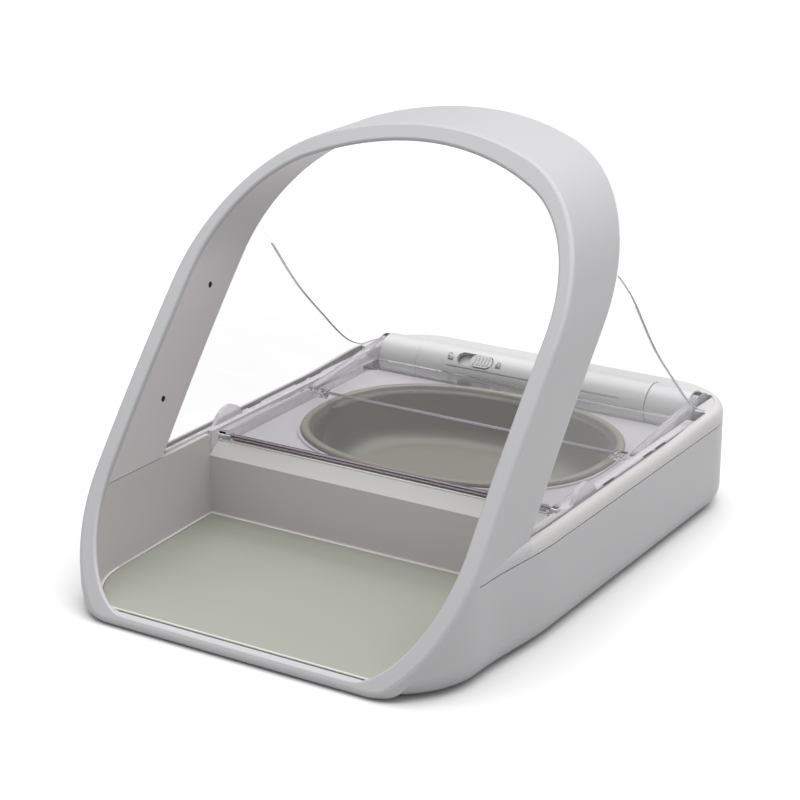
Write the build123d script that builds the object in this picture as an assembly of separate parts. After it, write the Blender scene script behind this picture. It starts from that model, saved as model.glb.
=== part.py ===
from build123d import *
import math
import os

# Microchip pet feeder. Millimetres, +Z up. Origin: centre of the footprint, on the floor.
# The open front of the hoop faces -Y, and X runs across the feeder.

# ---- driving dimensions: the housing -------------------------------------------------
HALF_W = 109.0           # half the width of the housing
FRONT_Y = -158.5         # foot of the hoop at floor height, the foremost line
REAR_Y = 154.8           # back wall
HEIGHT = 207.5           # top of the hoop
NOSE_HALF_W = HALF_W - 4.2  # half the width at the front corners, and of the hoop's legs
TAPER_Y = -58.0          # the sides draw in from here to the front corners
FRONT_R = 44.0           # plan radius of the front corners
REAR_R = 40.0            # plan radius of the rear corners
BOTTOM_R = 10.0          # rounding under the tub
LIP_R = 4.0              # rounding under the hoop's foot
WALL = 2.4               # moulded wall
SEAM_Z = 46.0            # parting line of tub and upper deck
RIM_Z = 52.0             # rim beside the lid
REAR_RIM_Z = 54.0        # rim around the hinge tube
RIM_R = 4.5              # rounding of the rim
RIM_W = 4.7              # width of the side rim
GAP = 0.3                # gap between neighbouring parts
GROOVE_T = 0.6           # shadow groove along the parting line
GROOVE_IN = 0.8
GROOVE_Y = -118.0        # where it starts, behind the front corners
BOTH_WAYS = HALF_W + 21.0  # half length of anything drawn out across the feeder

# ---- the hoop -------------------------------------------------------------------------
LEAN_FOOT = 0.663        # slope of the hoop's front at the floor, run over rise
LEAN_GROWTH = 0.00092    # growth of that slope with height
BAND = 46.0              # depth of the hoop's band
FACE_T = 4.0             # thickness of its front face
SHELL_T = 3.0            # outer shell of the hoop
LINER_T = 2.4            # inner liner of the hoop
FACE_R = 2.4             # rounding outside the front face
MOUTH_R = 1.2            # rounding inside it
LINER_Z = 51.0           # lower edge of the liner
LINER_GAP = 0.4          # fine line between the liner and the well
ARCH_SHOULDER_Z = HEIGHT - 75.0
ARCH_SHOULDER_R = 70.0
OPEN_TOP_Z = HEIGHT - 7.5
OPEN_SHOULDER_Z = OPEN_TOP_Z - 63.5
OPEN_SHOULDER_R = 56.0
COIL_T = 1.2             # the reader's winding
COIL_BAND = (14.0, 24.0) # where it lies in the hoop's depth

# ---- the front well and its mat ----------------------------------------------------------
WELL_HALF_W = NOSE_HALF_W - 8.4  # half the width of the well and of the hoop's opening
WELL_FRONT_Y = -153.4
WELL_R = 40.0
WELL_BACK_Y = -38.0
LIP_Z = 5.8              # the mat's height at the front lip
MAT_BACK_Z = 9.3         # and at the back of the well
MAT_T = 1.4
MAT_IN = 1.6             # the well's own border round the mat
BORDER_UP = 0.3          # how far it stands above the mat
FLOOR_T = 1.2
STEP_Z = 39.5            # top of the well's back wall
LEDGE_Z = 46.5           # top of the sloping ledge in front of the lid
LEDGE_Y = -30.0

# ---- the lid's mechanism -----------------------------------------------------------------
AXIS_Z = 47.0            # hinge tube, middle hinge and guide pins lie level
TUBE_Y = 125.0           # axis of the hinge tube
TUBE_R = 12.5
PANEL_L = 76.5           # tube axis to middle hinge, and middle hinge to guide pins
HINGE_Y = TUBE_Y - PANEL_L
PIN_Y = HINGE_Y - PANEL_L
LID_HALF_W = WELL_HALF_W - 4.4
LID_T = 2.0
LID_Z = AXIS_Z + 0.6     # underside of the closed lid
LID_REACH = 2.5          # the front edge lies this far beyond the guide pins
SEAL_T = 0.5
ARM_T = 3.8              # side arms beside the lid
END_DISC_R = 11.8        # disc at the end of each arm
COLLAR_X = LID_HALF_W - 23.6  # inner end of a turning collar
TUBE_HALF_L = COLLAR_X - 0.4  # half length of the fixed tube
TUBE_T = 2.0
TUBE_PROUD = 0.5         # the tube's cover stands this proud of its turning ends
HINGE_PIN_R = 1.2
GUIDE_PIN_R = 1.5
SHAFT_R = 3.0
FIT = 0.05               # running clearance, radial

# ---- side rails, rear cover and tray ------------------------------------------------------
RAIL_IN_X = LID_HALF_W + ARM_T + 0.8
RAIL_OUT_X = NOSE_HALF_W - 3.4
RAIL_TOP_Z = 51.5
RAIL_FRONT_Y = -70.0
RAIL_REAR_Y = 104.0
GROOVE_H = 3.6
GROOVE_D = 2.6
EAR_R = 13.0             # round ear at the lid's front corner
EAR_Y = PIN_Y + 11.0
COVER_T = 2.0
COVER_OUT_X = NOSE_HALF_W - 1.0
BLOCK_OUT_X = COVER_OUT_X + GAP  # outer end of the lid's bearing blocks
# the cover's rear edge: y, and height as a share of the way from the seam to the hoop's top
COVER_CURVE = ((10.5, 0.66), (30.0, 0.52), (50.0, 0.368), (77.0, 0.207), (100.0, 0.09), (111.5, 0.059))
BOW_DROP = 30.0          # the bow starts this far below the top of that edge
COVER_BOW = 5.0          # depth of the cover's bow behind the hoop
DECK_Z = 39.2            # top of the deck plate
TRAY_Z = DECK_Z + 2.0    # top of the bowl's tray
TRAY_HALF_W = RAIL_IN_X - 1.6
TRAY_FRONT_Y = -28.5
TRAY_REAR_Y = 111.0

# ---- bowl -----------------------------------------------------------------------------------
BOWL_REAR_Y = TUBE_Y - TUBE_R - 3.5  # the rim ends just in front of the hinge tube
BOWL_FRONT_Y = LEDGE_Y + 10.0
BOWL_HALF_W = LID_HALF_W - 9.0
BOWL_HALF_L = (BOWL_REAR_Y - BOWL_FRONT_Y) / 2
BOWL_Y = BOWL_REAR_Y - BOWL_HALF_L
BOWL_POWER = 2.35        # 2 is an ellipse, more is squarer
BOWL_RIM_W = 6.5
BOWL_TOP_W = 3.6         # the flat of the rim, outside its inner slope
BOWL_SLOPE_W = 4.0
BOWL_SLOPE_D = 2.6
BOWL_RIM_T = 3.2
BOWL_WALL = 1.8
BOWL_DEPTH = 29.0
BOWL_TAPER = 9.0         # inward lean of the wall from rim to floor
RING_W = 1.5             # low ring on the tray round the bowl
RING_H = 1.0

# ---- power, electronics, controls -----------------------------------------------------------
CELL_R = 12.9            # C cell
CELL_L = 49.5
CELL_X = HALF_W - 22.0   # a row of two cells down each side
CELL_Z = 17.5
CELL_MID_Y = 30.0
HATCH_HALF_W = 10.5      # battery cover
HATCH_HALF_L = 54.0
CONTACT_T = 0.5
BAY_TOP_Z = 20.0
SLOT_X = -33.0           # lock slider
SLOT_W = 8.0
SLOT_TILT = 42.0         # lean of the slider's face from upright, towards the front
KNOB_L = 13.0
LOCK_TRAVEL = 8.0
SLOT_L = KNOB_L + LOCK_TRAVEL + 1.0
LINE_TILT = 66.0         # the fine groove below the slider
LINE_X = (-49.0, 54.0)
MOTOR_R = 9.5
MOTOR_X = (TUBE_HALF_L - 64.0, TUBE_HALF_L - 14.0)
DRIVE_R = 2.5
BUTTON_R = 5.0
BUTTON_X = (-26.0, 0.0, 26.0)
BUTTON_Z = 30.0
BUTTON_PROUD = 1.1
LIGHT_X = 44.0
LIGHT_R = 1.6
SENSOR_Z = (80.0, 127.0)
SENSOR_IN = 26.0         # behind the hoop's front
SENSOR_R = 1.6
BOSS_R = 4.5
BOSS_TOP_Z = 12.0
SCREW_R = 1.5
SCREW_HEAD_R = 3.0
SCREW_HEAD_T = 2.2
SCREW_TOP_Z = 24.0
SCREW_X = HALF_W - 47.0
SCREW_SPOTS = ((-SCREW_X, -28.0), (SCREW_X, -28.0), (-SCREW_X, 105.0), (SCREW_X, 105.0))
FOOT_R = 8.0
FOOT_T = 1.6
FOOT_X = HALF_W - 43.0
FOOT_SPOTS = ((-FOOT_X, -116.0), (FOOT_X, -116.0), (-FOOT_X, 130.0), (FOOT_X, 130.0))
BASE_Z = 0.6             # the housing stands this far off the floor on its feet
FLOOR_Z = BASE_Z + 2.0   # inside of the tub's floor
BOARD_Z = 22.0           # underside of the control board
BOARD_TOP_Z = BOARD_Z + 1.6
SWITCH_Y = TUBE_Y + TUBE_R + 2.8  # front of the switch board, and of the room behind the tube
SWITCH_T = 1.4
SWITCH_PROUD = 1.8


# ---- outlines and slabs --------------------------------------------------------------------
def front_y(z):
    """Y of the hoop's front at height z: a slope that grows steadily with height."""
    return FRONT_Y + LEAN_FOOT * z + LEAN_GROWTH * z * z


def slab(start, stop):
    """Everything between two copies of the hoop's leaning front, start and stop behind it."""
    rise = (-6.0, HEIGHT / 2, HEIGHT + 8.5)
    near = ThreePointArc(*[(front_y(z) + start, z) for z in rise])
    far = ThreePointArc(*[(front_y(z) + stop, z) for z in reversed(rise)])
    side = make_face([near, Line(near @ 1, far @ 0), far, Line(far @ 1, near @ 0)])
    return extrude(Plane.YZ * side, BOTH_WAYS, both=True)


def plan(inset, low, high):
    """The housing's plan outline, inset evenly, from one height to another."""
    half, nose = HALF_W - inset, NOSE_HALF_W - inset
    front, rear = FRONT_Y + inset, REAR_Y - inset
    front_r, rear_r = FRONT_R - inset, REAR_R - inset
    bend_y = front + front_r
    right = [
        Line((0, front), (nose - front_r, front)),
        corner_arc(nose - front_r, bend_y, front_r, -90),
        Spline((nose, bend_y), (half, TAPER_Y), tangents=((0, 1), (0, 1))),
        Line((half, TAPER_Y), (half, rear - rear_r)),
        corner_arc(half - rear_r, rear - rear_r, rear_r, 0),
        Line((half - rear_r, rear), (0, rear)),
    ]
    left = [mirror(edge, Plane.YZ) for edge in right]
    return Pos(0, 0, low) * extrude(make_face([*right, *left]), high - low)


def corner_arc(x, y, radius, start):
    """A quarter circle about (x, y), anticlockwise from the start angle in degrees."""
    return CenterArc((x, y), radius, start, 90)


def arch(half_w, shoulder_z, shoulder_r, top_z, foot_z):
    """An arch across the feeder: upright legs, round shoulders and a shallow crown."""
    cx = half_w - shoulder_r
    rise = top_z - shoulder_z
    crown_r = (cx * cx + rise * rise - shoulder_r * shoulder_r) / (2 * (rise - shoulder_r))
    crown_z = top_z - crown_r
    reach = crown_r / (crown_r - shoulder_r)
    join = (cx * reach, crown_z + (shoulder_z - crown_z) * reach)
    turn = math.atan2(join[1] - shoulder_z, join[0] - cx) / 2
    bend = (cx + shoulder_r * math.cos(turn), shoulder_z + shoulder_r * math.sin(turn))
    right = [
        Line((half_w, foot_z), (half_w, shoulder_z)),
        ThreePointArc((half_w, shoulder_z), bend, join),
    ]
    crown = ThreePointArc(join, (0, top_z), (-join[0], join[1]))
    left = [
        ThreePointArc((-join[0], join[1]), (-bend[0], bend[1]), (-half_w, shoulder_z)),
        Line((-half_w, shoulder_z), (-half_w, foot_z)),
    ]
    face = make_face([*right, crown, *left, Line((-half_w, foot_z), (half_w, foot_z))])
    return extrude(Plane.XZ * face, 230.0, both=True)


def nose_plan(inset, low, high):
    """The hoop's own plan outline: two round front corners and straight sides, inset evenly."""
    half, front, radius = NOSE_HALF_W - inset, FRONT_Y + inset, FRONT_R - inset
    outline = Pos(0, (front + TUBE_Y) / 2) * Rectangle(2 * half, TUBE_Y - front)
    outline = fillet(outline.vertices().sort_by(Axis.Y)[:2], radius)
    return Pos(0, 0, low) * extrude(outline, high - low)


def hoop_body(inset, low=0.0):
    """The hoop's outer form, filled, inset evenly."""
    outer = arch(NOSE_HALF_W - inset, ARCH_SHOULDER_Z, ARCH_SHOULDER_R - inset, HEIGHT - inset, low - 1.0)
    return outer & nose_plan(inset, low, HEIGHT + 5.0)


def well_plan(outset, low, high, back):
    """The front well's plan outline: two round front corners, open-ended at the back."""
    half = WELL_HALF_W + outset
    front = WELL_FRONT_Y - outset
    outline = Pos(0, (front + back) / 2) * Rectangle(2 * half, back - front)
    outline = fillet(outline.vertices().sort_by(Axis.Y)[:2], WELL_R + outset)
    return Pos(0, 0, low) * extrude(outline, high - low)


def opening(outset, low):
    """The hoop's opening, filled, widened evenly."""
    shoulder_r = OPEN_SHOULDER_R + outset
    inner = arch(WELL_HALF_W + outset, OPEN_SHOULDER_Z, shoulder_r, OPEN_TOP_Z + outset, low - 1.0)
    return inner & well_plan(outset, low, HEIGHT + 5.0, 120.0)


def box(x0, x1, y0, y1, z0, z1):
    """A plain block between two corners."""
    return Pos((x0 + x1) / 2, (y0 + y1) / 2, (z0 + z1) / 2) * Box(x1 - x0, y1 - y0, z1 - z0)


def rod(radius, x0, x1, y, z):
    """A round bar across the feeder."""
    return Pos((x0 + x1) / 2, y, z) * Rot(0, 90, 0) * Cylinder(radius, x1 - x0)


def post(radius, x, y, z0, z1):
    """An upright round bar."""
    return Pos(x, y, (z0 + z1) / 2) * Cylinder(radius, z1 - z0)


def both_sides(shape):
    """A shape and its mirror image across the feeder."""
    return Compound([shape, mirror(shape, Plane.YZ)])


def one(shape):
    """The single solid that a boolean leaves."""
    solids = shape.solids().sort_by(SortBy.VOLUME)
    return solids[-1]


def rounded(edges, radius):
    """These edges rounded, with the nearest radius that their curves take."""
    for share in (1.0, 0.96, 1.04, 0.92, 1.1, 0.84):
        try:
            return fillet(edges, radius * share)
        except ValueError:
            continue
    return fillet(edges, radius * 0.7)


def oval_face(half_w, half_l, z, steps=40):
    """A squarish oval about the bowl's centre, as a smooth face at one height."""
    points = []
    for i in range(steps):
        turn = 2 * math.pi * i / steps
        c, s = math.cos(turn), math.sin(turn)
        x = half_w * math.copysign(abs(c) ** (2 / BOWL_POWER), c)
        y = half_l * math.copysign(abs(s) ** (2 / BOWL_POWER), s)
        points.append((x, BOWL_Y + y))
    return Pos(0, 0, z) * make_face(Spline(points, periodic=True))


def oval(shrink, low, high):
    """The bowl's oval, drawn in evenly, as a block."""
    return extrude(oval_face(BOWL_HALF_W - shrink, BOWL_HALF_L - shrink, low), high - low)


def side_block(points, half_w):
    """A side outline, as (y, z) points, drawn out across the feeder."""
    outline = make_face(Polyline(*points, close=True))
    return extrude(Plane.YZ * outline, half_w, both=True)


def on_tube(x, turn, radius):
    """A place on the hinge tube, facing outwards: turn 0 is straight up, positive towards the front."""
    return Pos(x, TUBE_Y, AXIS_Z) * Rot(turn, 0, 0) * Pos(0, 0, radius)


# ---- the hoop ------------------------------------------------------------------------------
def hoop_outer():
    """The front face all round the opening, and the outer wall of the hoop above the seam."""
    body = hoop_body(0.0, BASE_Z)
    body = rounded(body.edges().group_by(Axis.Z)[0], LIP_R)
    face = (body - opening(0.0, LIP_Z)) & slab(0.0, FACE_T)
    wall = (body - hoop_body(SHELL_T, BASE_Z)) & slab(FACE_T, BAND)
    wall = wall & box(-HALF_W, HALF_W, FRONT_Y, REAR_Y, SEAM_Z, HEIGHT + 1)
    hoop = one(face + wall)
    hoop = rounded(loop_edges(hoop, outer=True), FACE_R)
    hoop = rounded(loop_edges(hoop, outer=False), MOUTH_R)
    foot = (rim_block() & slab(FACE_T, BAND)) - hoop_body(SHELL_T, BASE_Z)
    return one(hoop + foot)


def loop_edges(hoop, outer):
    """The outer or inner edges of the hoop's front face, the foremost face with a hole in it."""
    holed = [f for f in hoop.faces() if f.inner_wires()]
    front = sorted(holed, key=lambda f: f.center().Y)[0]
    return front.outer_wire().edges() if outer else front.inner_wires()[0].edges()


def liner_span():
    """Where the liner runs: from its lower edge to the top of the hoop."""
    return box(-HALF_W, HALF_W, FRONT_Y, REAR_Y, LINER_Z, HEIGHT + 1)


def hoop_liner():
    """The inner skin of the hoop with the flange that closes its back."""
    skin = (opening(LINER_T, LIP_Z) - opening(0.0, LIP_Z)) & slab(FACE_T, BAND)
    flange = (hoop_body(SHELL_T, BASE_Z) - opening(0.0, LIP_Z)) & slab(BAND - LINER_T, BAND)
    liner = one((skin + flange) & liner_span())
    for hole in sensor_rods(-1.0):
        liner = liner - hole
    return one(liner)


def sensor_rods(sunk):
    """Two round bars in each leg's inner face, starting this far behind it."""
    start, stop = WELL_HALF_W + sunk, WELL_HALF_W + LINER_T + 1.2
    rods = []
    for z in SENSOR_Z:
        y = front_y(z) + SENSOR_IN
        for side in (-1, 1):
            rods.append(rod(SENSOR_R, *sorted((side * start, side * stop)), y, z))
    return rods


def sensor_windows():
    """The four presence windows, a little below the liner's surface."""
    return Compound(sensor_rods(GAP))


def antenna_coil():
    """The reader's aerial, a flat winding inside the hoop."""
    inset = SHELL_T + GAP
    winding = hoop_body(inset, BASE_Z) - hoop_body(inset + COIL_T, BASE_Z)
    return one(winding & slab(*COIL_BAND) & box(-HALF_W, HALF_W, FRONT_Y, REAR_Y, RIM_Z, HEIGHT))


# ---- the tub ---------------------------------------------------------------------------------
def base_tub():
    """The lower shell: round plan corners, rounded foot, screw bosses and battery bays."""
    outer = plan(0.0, BASE_Z, SEAM_Z)
    outer = fillet(outer.edges().group_by(Axis.Z)[0], BOTTOM_R)
    inner = plan(WALL, FLOOR_Z, SEAM_Z + 1)
    inner = fillet(inner.edges().group_by(Axis.Z)[0], BOTTOM_R - WALL)
    tub = (outer & slab(FACE_T, 400.0)) - (inner & slab(FACE_T + WALL, 400.0))
    tub = tub - well_plan(WALL + GAP, FLOOR_Z, SEAM_Z + 1, WELL_BACK_Y + WALL)
    for side in (-1, 1):
        x0, x1 = sorted((side * (CELL_X - CELL_R - 2.0), side * (CELL_X - CELL_R - 0.4)))
        tub = tub + box(x0, x1, CELL_MID_Y - CELL_L - 5.0, CELL_MID_Y + CELL_L + 5.0, BASE_Z, BAY_TOP_Z)
        for end in (-1, 1):
            y0, y1 = sorted((CELL_MID_Y + end * (CELL_L + 3.2), CELL_MID_Y + end * (CELL_L + 5.0)))
            wide = box(min(x0, side * HALF_W), max(x1, side * HALF_W), y0, y1, BASE_Z, BAY_TOP_Z)
            tub = tub + (wide & outer)
        tub = tub - hatch_block(side, GAP, FLOOR_Z + 0.01)
    for x, y in SCREW_SPOTS:
        tub = tub + post(BOSS_R, x, y, BASE_Z, BOSS_TOP_Z)
        tub = tub - post(SCREW_HEAD_R + 0.2, x, y, BASE_Z, BASE_Z + SCREW_HEAD_T + 0.6)
        tub = tub - post(SCREW_R + 0.2, x, y, BASE_Z, BOSS_TOP_Z + 1)
    for x, y in FOOT_SPOTS:
        tub = tub - post(FOOT_R, x, y, 0.0, FOOT_T)
    for x in BUTTON_X:
        tub = tub - button_hole(x, BUTTON_R + GAP)
    tub = tub - button_hole(LIGHT_X, LIGHT_R)
    return one(tub - seam_groove())


def seam_groove():
    """The shadow groove along the tub's upper edge, behind the front corners."""
    band = plan(-1.0, SEAM_Z - GROOVE_T, SEAM_Z + 1) - plan(GROOVE_IN, SEAM_Z - GROOVE_T - 1, SEAM_Z + 2)
    return band & box(-BOTH_WAYS, BOTH_WAYS, GROOVE_Y, REAR_Y + 2, 0.0, HEIGHT)


def hatch_block(side, grow, top):
    """One battery cover's outline as a block from the tub's underside up."""
    outline = RectangleRounded(2 * (HATCH_HALF_W + grow), 2 * (HATCH_HALF_L + grow), 3.0)
    return Pos(side * (CELL_X - 0.5), CELL_MID_Y, BASE_Z) * extrude(outline, top - BASE_Z)


def battery_cover(side):
    """A battery cover with a finger notch."""
    plate = hatch_block(side, 0.0, FLOOR_Z)
    notch = Pos(side * (CELL_X - 0.5), CELL_MID_Y - HATCH_HALF_L + 7.0, BASE_Z) * Cylinder(5.0, 1.6)
    return one(plate - notch)


# ---- the upper deck -----------------------------------------------------------------------------
def rim_block():
    """The rim as a block: low beside the lid, rising to the hinge tube, rounded over outside."""
    rise = Spline((58.0, RIM_Z), (112.0, REAR_RIM_Z), tangents=((1, 0), (1, 0)))
    outline = make_face([
        Line((-200.0, SEAM_Z), (-200.0, RIM_Z)), Line((-200.0, RIM_Z), (58.0, RIM_Z)), rise,
        Line((112.0, REAR_RIM_Z), (200.0, REAR_RIM_Z)), Line((200.0, REAR_RIM_Z), (200.0, SEAM_Z)),
        Line((200.0, SEAM_Z), (-200.0, SEAM_Z)),
    ])
    block = plan(0.0, SEAM_Z, REAR_RIM_Z + 5) & extrude(Plane.YZ * outline, BOTH_WAYS, both=True)
    top = [e for e in block.edges() if e.center().Z > RIM_Z - 1]
    top = [e for e in top if abs(e.center().X) > HALF_W - 20 or e.center().Y > REAR_Y - 1]
    return fillet(top, RIM_R)


def mat_wedge(drop, thick):
    """A gently rising slab under the well: drop below the mat's top, thick downwards."""
    y0, y1 = FRONT_Y - 2, WELL_BACK_Y
    rise = (MAT_BACK_Z - LIP_Z) / (WELL_BACK_Y - WELL_FRONT_Y)
    z0, z1 = LIP_Z + rise * (y0 - WELL_FRONT_Y) - drop, MAT_BACK_Z - drop
    return side_block([(y0, z0), (y1, z1), (y1, z1 - thick), (y0, z0 - thick)], HALF_W)


def well_walls():
    """The well's floor, its two sides and its back, with the ledge in front of the lid."""
    outer = well_plan(WALL, BASE_Z + 1.4, LINER_Z - LINER_GAP, WELL_BACK_Y)
    inner = well_plan(0.0, BASE_Z, LINER_Z + 1, WELL_BACK_Y + 1)
    sides = outer - inner
    floor = well_plan(WALL, 0.0, SEAM_Z, WELL_BACK_Y) & mat_wedge(MAT_T, FLOOR_T)
    border = well_plan(WALL, 0.0, SEAM_Z, WELL_BACK_Y)
    border = border - well_plan(-MAT_IN, -1.0, LINER_Z, WELL_BACK_Y - MAT_IN)
    border = border & mat_wedge(-BORDER_UP, MAT_T + BORDER_UP)
    under = side_block([(FRONT_Y - 9, -20.0), (FRONT_Y - 9, LIP_Z - MAT_T - FLOOR_T),
                        (WELL_BACK_Y, MAT_BACK_Z - MAT_T - FLOOR_T), (WELL_BACK_Y, -20.0)], HALF_W)
    half = WELL_HALF_W + WALL
    back = box(-half, half, WELL_BACK_Y, WELL_BACK_Y + WALL, MAT_BACK_Z - MAT_T - FLOOR_T, STEP_Z)
    ledge = side_block([(WELL_BACK_Y, STEP_Z - 3), (WELL_BACK_Y, STEP_Z), (LEDGE_Y, LEDGE_Z),
                        (LEDGE_Y + 1.2, LEDGE_Z), (LEDGE_Y + 1.2, DECK_Z - 2.0), (LEDGE_Y - 3, DECK_Z - 2.0)],
                       RAIL_IN_X - GAP)
    for side in (-1, 1):
        x0, x1 = sorted((side * (LID_HALF_W - 2.6), side * RAIL_IN_X))
        ledge = ledge - box(x0, x1, LEDGE_Y - 1.5, LEDGE_Y + 2.0, AXIS_Z - 3.2, 60.0)
    walls = ((sides + floor + border) - under) & slab(FACE_T, 400.0)
    return walls + back + ledge


def deck_plate():
    """The deck under the tray, the lip inside the tub and the strips beside the well."""
    lip = plan(WALL + GAP, DECK_Z - 2.0, SEAM_Z) - plan(RIM_W, DECK_Z - 3.0, SEAM_Z + 1)
    lip = lip & slab(FACE_T + WALL + GAP, 400.0)
    plate = plan(WALL + GAP, DECK_Z - 2.0, DECK_Z) & box(-HALF_W, HALF_W, WELL_BACK_Y, 120.0, 0.0, 60.0)
    plate = plate - oval(3.0, 0.0, 60.0)
    strips = plan(WALL + GAP, SEAM_Z - 2.0, SEAM_Z) - well_plan(WALL / 2, 0.0, 60.0, 200.0)
    strips = strips & slab(FACE_T + WALL + GAP, 400.0) & box(-HALF_W, HALF_W, FRONT_Y, WELL_BACK_Y, 0.0, 60.0)
    return lip + plate + strips


def tube_trough():
    """The half-round trough that the hinge tube and its collars lie in."""
    end_x = BLOCK_OUT_X + 0.4
    trough = rod(TUBE_R + WALL, -end_x, end_x, TUBE_Y, AXIS_Z)
    low = box(-HALF_W, HALF_W, TUBE_Y - 20, TUBE_Y + 20, 0.0, AXIS_Z)
    front = box(-HALF_W, HALF_W, TUBE_Y - 20, TUBE_Y, DECK_Z, 80.0)
    return ((trough & low) - front) & plan(WALL + GAP, 0.0, SEAM_Z)


def upper_deck():
    """The upper shell: rim, deck, well and tube trough in one moulding."""
    rim = rim_block() & slab(BAND, 400.0)
    rear_y = TUBE_Y + TUBE_R + TUBE_PROUD + GAP
    wide = plan(RIM_W, 30.0, 80.0) & box(-HALF_W, HALF_W, -200.0, rear_y, 0.0, 80.0)
    hollow = box(-92.0, 92.0, SWITCH_Y, REAR_Y, 0.0, REAR_RIM_Z - WALL) & plan(WALL, 0.0, REAR_RIM_Z)
    deck = (rim - wide - hollow) + deck_plate() + well_walls() + tube_trough()
    deck = deck - rod(TUBE_R, -TUBE_HALF_L, TUBE_HALF_L, TUBE_Y, AXIS_Z)
    for side in (-1, 1):
        x0, x1 = sorted((side * TUBE_HALF_L, side * (BLOCK_OUT_X + 0.1)))
        deck = deck - (rod(TUBE_R + 0.4, x0, x1, TUBE_Y, AXIS_Z) & plan(RIM_W, 0.0, 80.0))
    for x, y in SCREW_SPOTS:
        deck = deck + post(BOSS_R, x, y, BOSS_TOP_Z, DECK_Z - 1.0)
        deck = deck - post(SCREW_R, x, y, BOSS_TOP_Z - 1, SCREW_TOP_Z)
    return one(deck)


def button_hole(x, radius):
    """A round hole through the back wall."""
    return Pos(x, REAR_Y, BUTTON_Z) * Rot(90, 0, 0) * Cylinder(radius, 12.0)


def mat():
    """The wipe-clean mat in the front well."""
    inset = MAT_IN + GAP
    sheet = well_plan(-inset, 0.0, SEAM_Z, WELL_BACK_Y - inset) & mat_wedge(0.0, MAT_T)
    return one(sheet & slab(FACE_T + inset, 400.0))


# ---- bowl and tray --------------------------------------------------------------------------------
def bowl_tray():
    """The tray that the bowl hangs in, with a low ring round it."""
    outline = RectangleRounded(2 * TRAY_HALF_W, TRAY_REAR_Y - TRAY_FRONT_Y, 6.0)
    sheet = Pos(0, (TRAY_REAR_Y + TRAY_FRONT_Y) / 2, DECK_Z) * extrude(outline, TRAY_Z - DECK_Z)
    ring = oval(-GAP - RING_W, DECK_Z, TRAY_Z + RING_H) - oval(-GAP, TRAY_Z, 60.0)
    return one((sheet + ring) - oval(BOWL_RIM_W - 0.5, 0.0, 60.0))


def bowl():
    """A tapered oval bowl with a flat rim."""
    rim_top = TRAY_Z + BOWL_RIM_T
    floor_z = rim_top - BOWL_DEPTH
    neck_w, neck_l = BOWL_HALF_W - BOWL_RIM_W, BOWL_HALF_L - BOWL_RIM_W
    outer = loft([
        oval_face(neck_w - BOWL_TAPER, neck_l - BOWL_TAPER, floor_z),
        oval_face(neck_w, neck_l, rim_top),
    ])
    inner = loft([
        oval_face(neck_w - BOWL_TAPER - BOWL_WALL, neck_l - BOWL_TAPER - BOWL_WALL, floor_z + BOWL_WALL),
        oval_face(neck_w - BOWL_WALL, neck_l - BOWL_WALL, rim_top + 0.5),
    ])
    outer = fillet(outer.edges().group_by(Axis.Z)[0], 6.0)
    inner = fillet(inner.edges().group_by(Axis.Z)[0], 6.0)
    flange = oval(0.0, TRAY_Z, rim_top)
    slope_w = BOWL_TOP_W + BOWL_SLOPE_W
    slope = loft([
        oval_face(BOWL_HALF_W - slope_w, BOWL_HALF_L - slope_w, rim_top - BOWL_SLOPE_D),
        oval_face(BOWL_HALF_W - BOWL_TOP_W, BOWL_HALF_L - BOWL_TOP_W, rim_top + 0.01),
    ])
    return one((outer + flange) - inner - slope)


# ---- hinge tube ---------------------------------------------------------------------------------------
def tube_shell(radius):
    """The fixed middle of the hinge tube, whole."""
    shell = rod(radius, -TUBE_HALF_L, TUBE_HALF_L, TUBE_Y, AXIS_Z)
    bore = rod(TUBE_R - TUBE_T, -TUBE_HALF_L + TUBE_T, TUBE_HALF_L - TUBE_T, TUBE_Y, AXIS_Z)
    return shell - bore - rod(DRIVE_R + FIT, -TUBE_HALF_L - 1, TUBE_HALF_L + 1, TUBE_Y, AXIS_Z)


def slot_block(length, width, low, high, x=SLOT_X):
    """A long round-ended block standing out of the tube at the lock slider."""
    return on_tube(x, SLOT_TILT, low) * extrude(SlotOverall(length, width), high - low)


def tube_cover():
    """The upper half of the tube, with the slider's slot and a fine groove below it."""
    outer_r = TUBE_R + TUBE_PROUD
    half = tube_shell(outer_r) & box(-BOTH_WAYS, BOTH_WAYS, TUBE_Y - 20, TUBE_Y + 20, AXIS_Z, 80.0)
    line = on_tube(sum(LINE_X) / 2, LINE_TILT, outer_r) * Box(LINE_X[1] - LINE_X[0], GROOVE_T, 2 * GROOVE_IN)
    return one(half - slot_block(SLOT_L, SLOT_W, 6.0, outer_r + 2) - line)


def tube_cradle():
    """The lower half of the tube."""
    return one(tube_shell(TUBE_R) & box(-BOTH_WAYS, BOTH_WAYS, TUBE_Y - 20, TUBE_Y + 20, 0.0, AXIS_Z))


def lock_slider():
    """The manual lid lock: a ribbed knob on a wider foot that always covers the slot from inside."""
    x = SLOT_X + LOCK_TRAVEL / 2
    top = TUBE_R + TUBE_PROUD + 0.1
    knob = slot_block(KNOB_L, SLOT_W - 2 * GAP, TUBE_R - 4.0, top, x)
    foot = slot_block(SLOT_L + LOCK_TRAVEL + 2.0, SLOT_W + 2.0, TUBE_R - 4.9, TUBE_R - 3.3, x)
    for i in range(5):
        knob = knob + on_tube(x + (i - 2) * 2.0, SLOT_TILT, top) * Box(0.9, SLOT_W - 3.0, 1.0)
    return one(knob + foot)


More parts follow.
